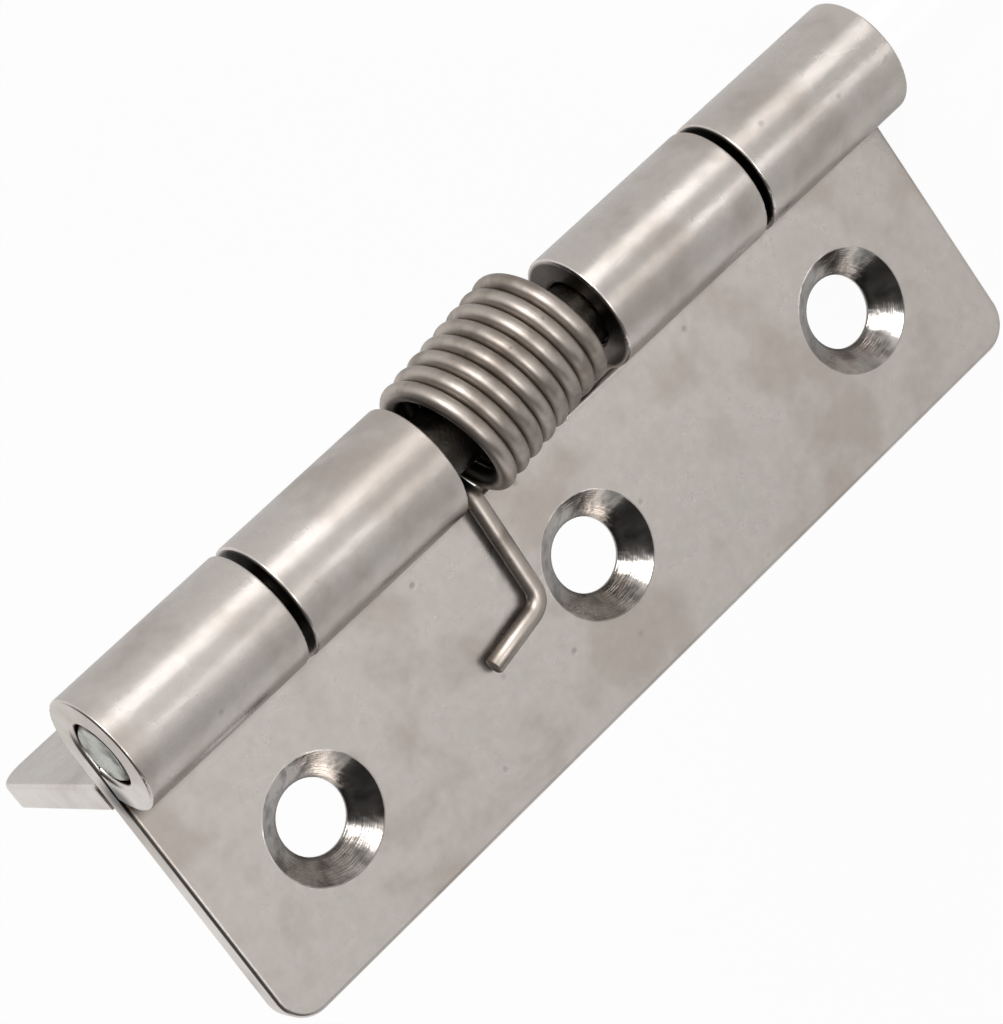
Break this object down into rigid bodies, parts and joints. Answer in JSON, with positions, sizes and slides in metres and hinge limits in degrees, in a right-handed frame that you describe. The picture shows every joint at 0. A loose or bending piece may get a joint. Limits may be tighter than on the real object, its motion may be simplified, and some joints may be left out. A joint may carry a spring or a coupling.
{
  "type": "spring loaded door hinge",
  "caption": "Butt hinge of curled sheet with countersunk screw holes, knuckles on a fixed pin and a bare torsion spring round the pin that presses its leaves apart.",
  "frame": {"origin": "centre of the middle screw hole of the leaf with the end knuckles, on its back face, which lies on the wall", "axes": "+Z along the pin, +Y out of that leaf's back face into the wall, +X from its screw holes to the pin; the hinge rests open, with the other leaf running back, 3.6 degrees off +Y"},
  "size_m": [0.031, 0.0297, 0.076],
  "materials": {
    "front_leaf": "satin stainless steel",
    "pin": "turned stainless steel",
    "spring": "drawn stainless wire",
    "back_leaf": "satin stainless steel"
  },
  "bodies": {
    "fixed_leaf": {"front_leaf": "front_leaf", "pin": "pin", "spring": "spring"},
    "swinging_leaf": {"back_leaf": "back_leaf"}
  },
  "joints": [
    {"name": "fold", "type": "hinge", "parent": "fixed_leaf", "child": "swinging_leaf", "pos_m": [0.0147, -0.0047, 0], "axis": [0, 0, -1], "range_deg": [0, 273.6], "stiffness_Nm_per_rad": 0.2, "springref_deg": -28.65, "deforming": ["spring"]}
  ]
}
